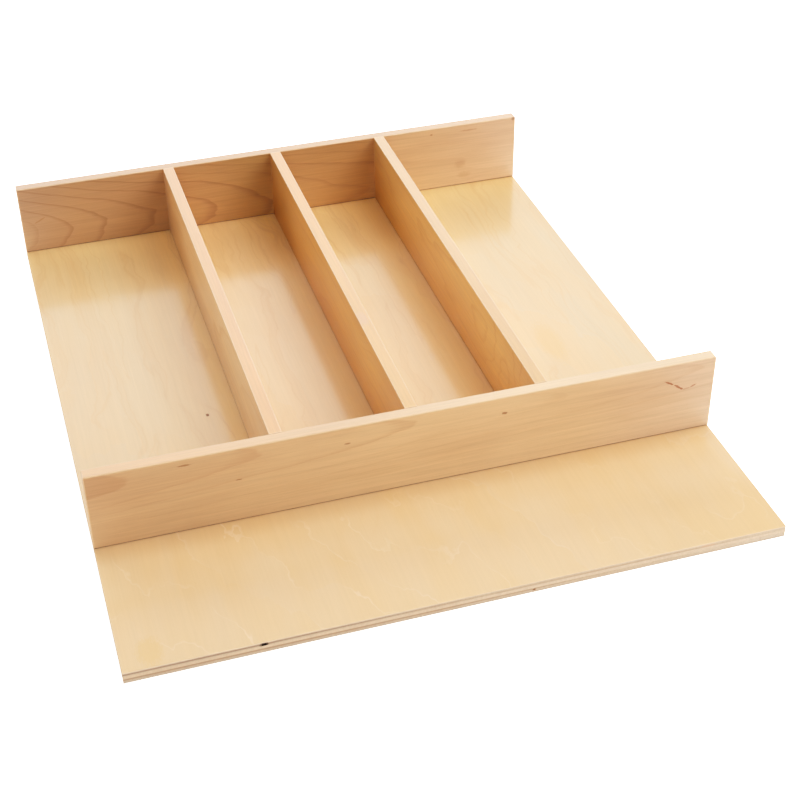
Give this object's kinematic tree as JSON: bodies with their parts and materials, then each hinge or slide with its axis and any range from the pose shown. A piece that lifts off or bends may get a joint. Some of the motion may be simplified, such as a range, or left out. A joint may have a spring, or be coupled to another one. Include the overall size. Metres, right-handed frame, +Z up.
{
  "type": "drawer organizer insert",
  "caption": "Wooden drawer insert with a plywood base, low front and back rails and dividers between them, forming long open bays for utensils, with a trimming margin in front.",
  "frame": {"origin": "centre of the base's underside, on the surface that the insert rests on", "axes": "+X to the right across the drawer, +Y towards the back of the drawer along the dividers, +Z up"},
  "size_m": [0.47, 0.5588, 0.073],
  "materials": {
    "birch_veneer": "rotary-cut birch face veneer under a clear satin lacquer",
    "ply_crossband": "end grain of the plywood's crossbands, sanded",
    "ply_core": "long grain of the plywood's core, sanded",
    "maple_board": "solid maple planed and sanded under a clear satin lacquer",
    "staple_wire": "galvanised flat staple wire"
  },
  "bodies": {
    "root": {"base_face_veneer": "birch_veneer", "base_crossband_upper": "ply_crossband", "base_core_ply": "ply_core", "base_crossband_lower": "ply_crossband", "base_back_veneer": "birch_veneer", "front_rail": "maple_board", "back_rail": "maple_board", "divider_left": "maple_board", "divider_centre": "maple_board", "divider_right": "maple_board", "front_rail_staples": "staple_wire", "back_rail_staples": "staple_wire", "divider_left_staples": "staple_wire", "divider_centre_staples": "staple_wire", "divider_right_staples": "staple_wire"}
  },
  "joints": []
}
